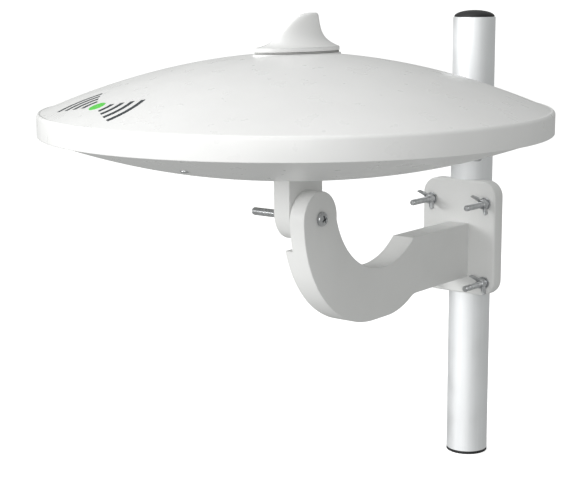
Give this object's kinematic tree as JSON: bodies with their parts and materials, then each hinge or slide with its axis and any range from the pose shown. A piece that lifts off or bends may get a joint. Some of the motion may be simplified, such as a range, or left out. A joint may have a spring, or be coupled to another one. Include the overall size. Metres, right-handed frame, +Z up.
{
  "type": "dome antenna",
  "caption": "Saucer-shaped white dome antenna with a shark-fin cover on top, tilting on a hooked arm that U-bolts and wing nuts clamp to a mast.",
  "frame": {"origin": "centre of the flat underside of the mast section's foot plug, on the mast's axis", "axes": "+Z up along the mast; -Y from the mast towards the dome; +X to the right seen from the dome's front, along the tilt axis"},
  "size_m": [0.36, 0.4468, 0.383],
  "materials": {
    "white_plastic": "satin moulded, slightly warm white",
    "mast_metal": "satin drawn tube",
    "steel": "zinc-plated or stainless fastener",
    "black_plastic": "matt black",
    "rubber": "matt",
    "copper": null,
    "brass": "nickel-flashed brass",
    "board": "green glass-fibre board"
  },
  "bodies": {
    "mast": {"mast_tube": "mast_metal", "mast_foot_plug": "black_plastic", "mast_top_cap": "black_plastic"},
    "bracket": {"bracket": "white_plastic", "u_bolt_upper": "steel", "u_bolt_lower": "steel", "washer_upper_left": "steel", "washer_upper_right": "steel", "washer_lower_left": "steel", "washer_lower_right": "steel"},
    "dome": {"pivot_nut": "steel", "pivot_lug": "white_plastic", "lug_screw_1": "steel", "lug_screw_2": "steel", "lug_screw_3": "steel", "lug_screw_4": "steel", "upper_cover": "white_plastic", "lower_cover": "white_plastic", "cover_screw_1": "steel", "cover_screw_2": "steel", "cover_screw_3": "steel", "cover_screw_4": "steel", "rim_seal": "rubber", "fin": "white_plastic", "fin_seal": "rubber", "fin_screw_1": "steel", "fin_screw_2": "steel", "circuit_board": "board", "board_screw_1": "steel", "board_screw_2": "steel", "board_screw_3": "steel", "board_screw_4": "steel", "amplifier_shield": "steel", "element_carrier": "black_plastic", "carrier_screw_1": "steel", "carrier_screw_2": "steel", "carrier_screw_3": "steel", "carrier_screw_4": "steel", "dipole_arm_right": "copper", "dipole_arm_back": "copper", "dipole_arm_left": "copper", "dipole_arm_front": "copper", "fm_loop": "copper", "coax_socket": "brass", "socket_ring": "rubber", "socket_nut": "brass", "inner_lead": "black_plastic"},
    "pivot_bolt": {"pivot_bolt": "steel"},
    "wing_nut_upper_left": {"wing_nut_upper_left": "steel"},
    "wing_nut_upper_right": {"wing_nut_upper_right": "steel"},
    "wing_nut_lower_left": {"wing_nut_lower_left": "steel"},
    "wing_nut_lower_right": {"wing_nut_lower_right": "steel"}
  },
  "joints": [
    {"name": "bracket_swivel", "type": "hinge", "parent": "mast", "child": "bracket", "pos_m": [0, 0, 0.19], "axis": [0, 0, 1], "continuous": true},
    {"name": "dome_tilt", "type": "hinge", "parent": "bracket", "child": "dome", "pos_m": [0, -0.2275, 0.2365], "axis": [1, 0, 0], "range_deg": [-15, 90]},
    {"name": "pivot_bolt_turn", "type": "hinge", "parent": "bracket", "child": "pivot_bolt", "pos_m": [0, -0.2275, 0.2365], "axis": [1, 0, 0], "continuous": true},
    {"name": "wing_nut_upper_left_turn", "type": "hinge", "parent": "bracket", "child": "wing_nut_upper_left", "pos_m": [-0.0259, -0.025, 0.2225], "axis": [0, -1, 0], "continuous": true},
    {"name": "wing_nut_upper_right_turn", "type": "hinge", "parent": "bracket", "child": "wing_nut_upper_right", "pos_m": [0.0259, -0.025, 0.2225], "axis": [0, -1, 0], "continuous": true},
    {"name": "wing_nut_lower_left_turn", "type": "hinge", "parent": "bracket", "child": "wing_nut_lower_left", "pos_m": [-0.0259, -0.025, 0.1555], "axis": [0, -1, 0], "continuous": true},
    {"name": "wing_nut_lower_right_turn", "type": "hinge", "parent": "bracket", "child": "wing_nut_lower_right", "pos_m": [0.0259, -0.025, 0.1555], "axis": [0, -1, 0], "continuous": true}
  ]
}
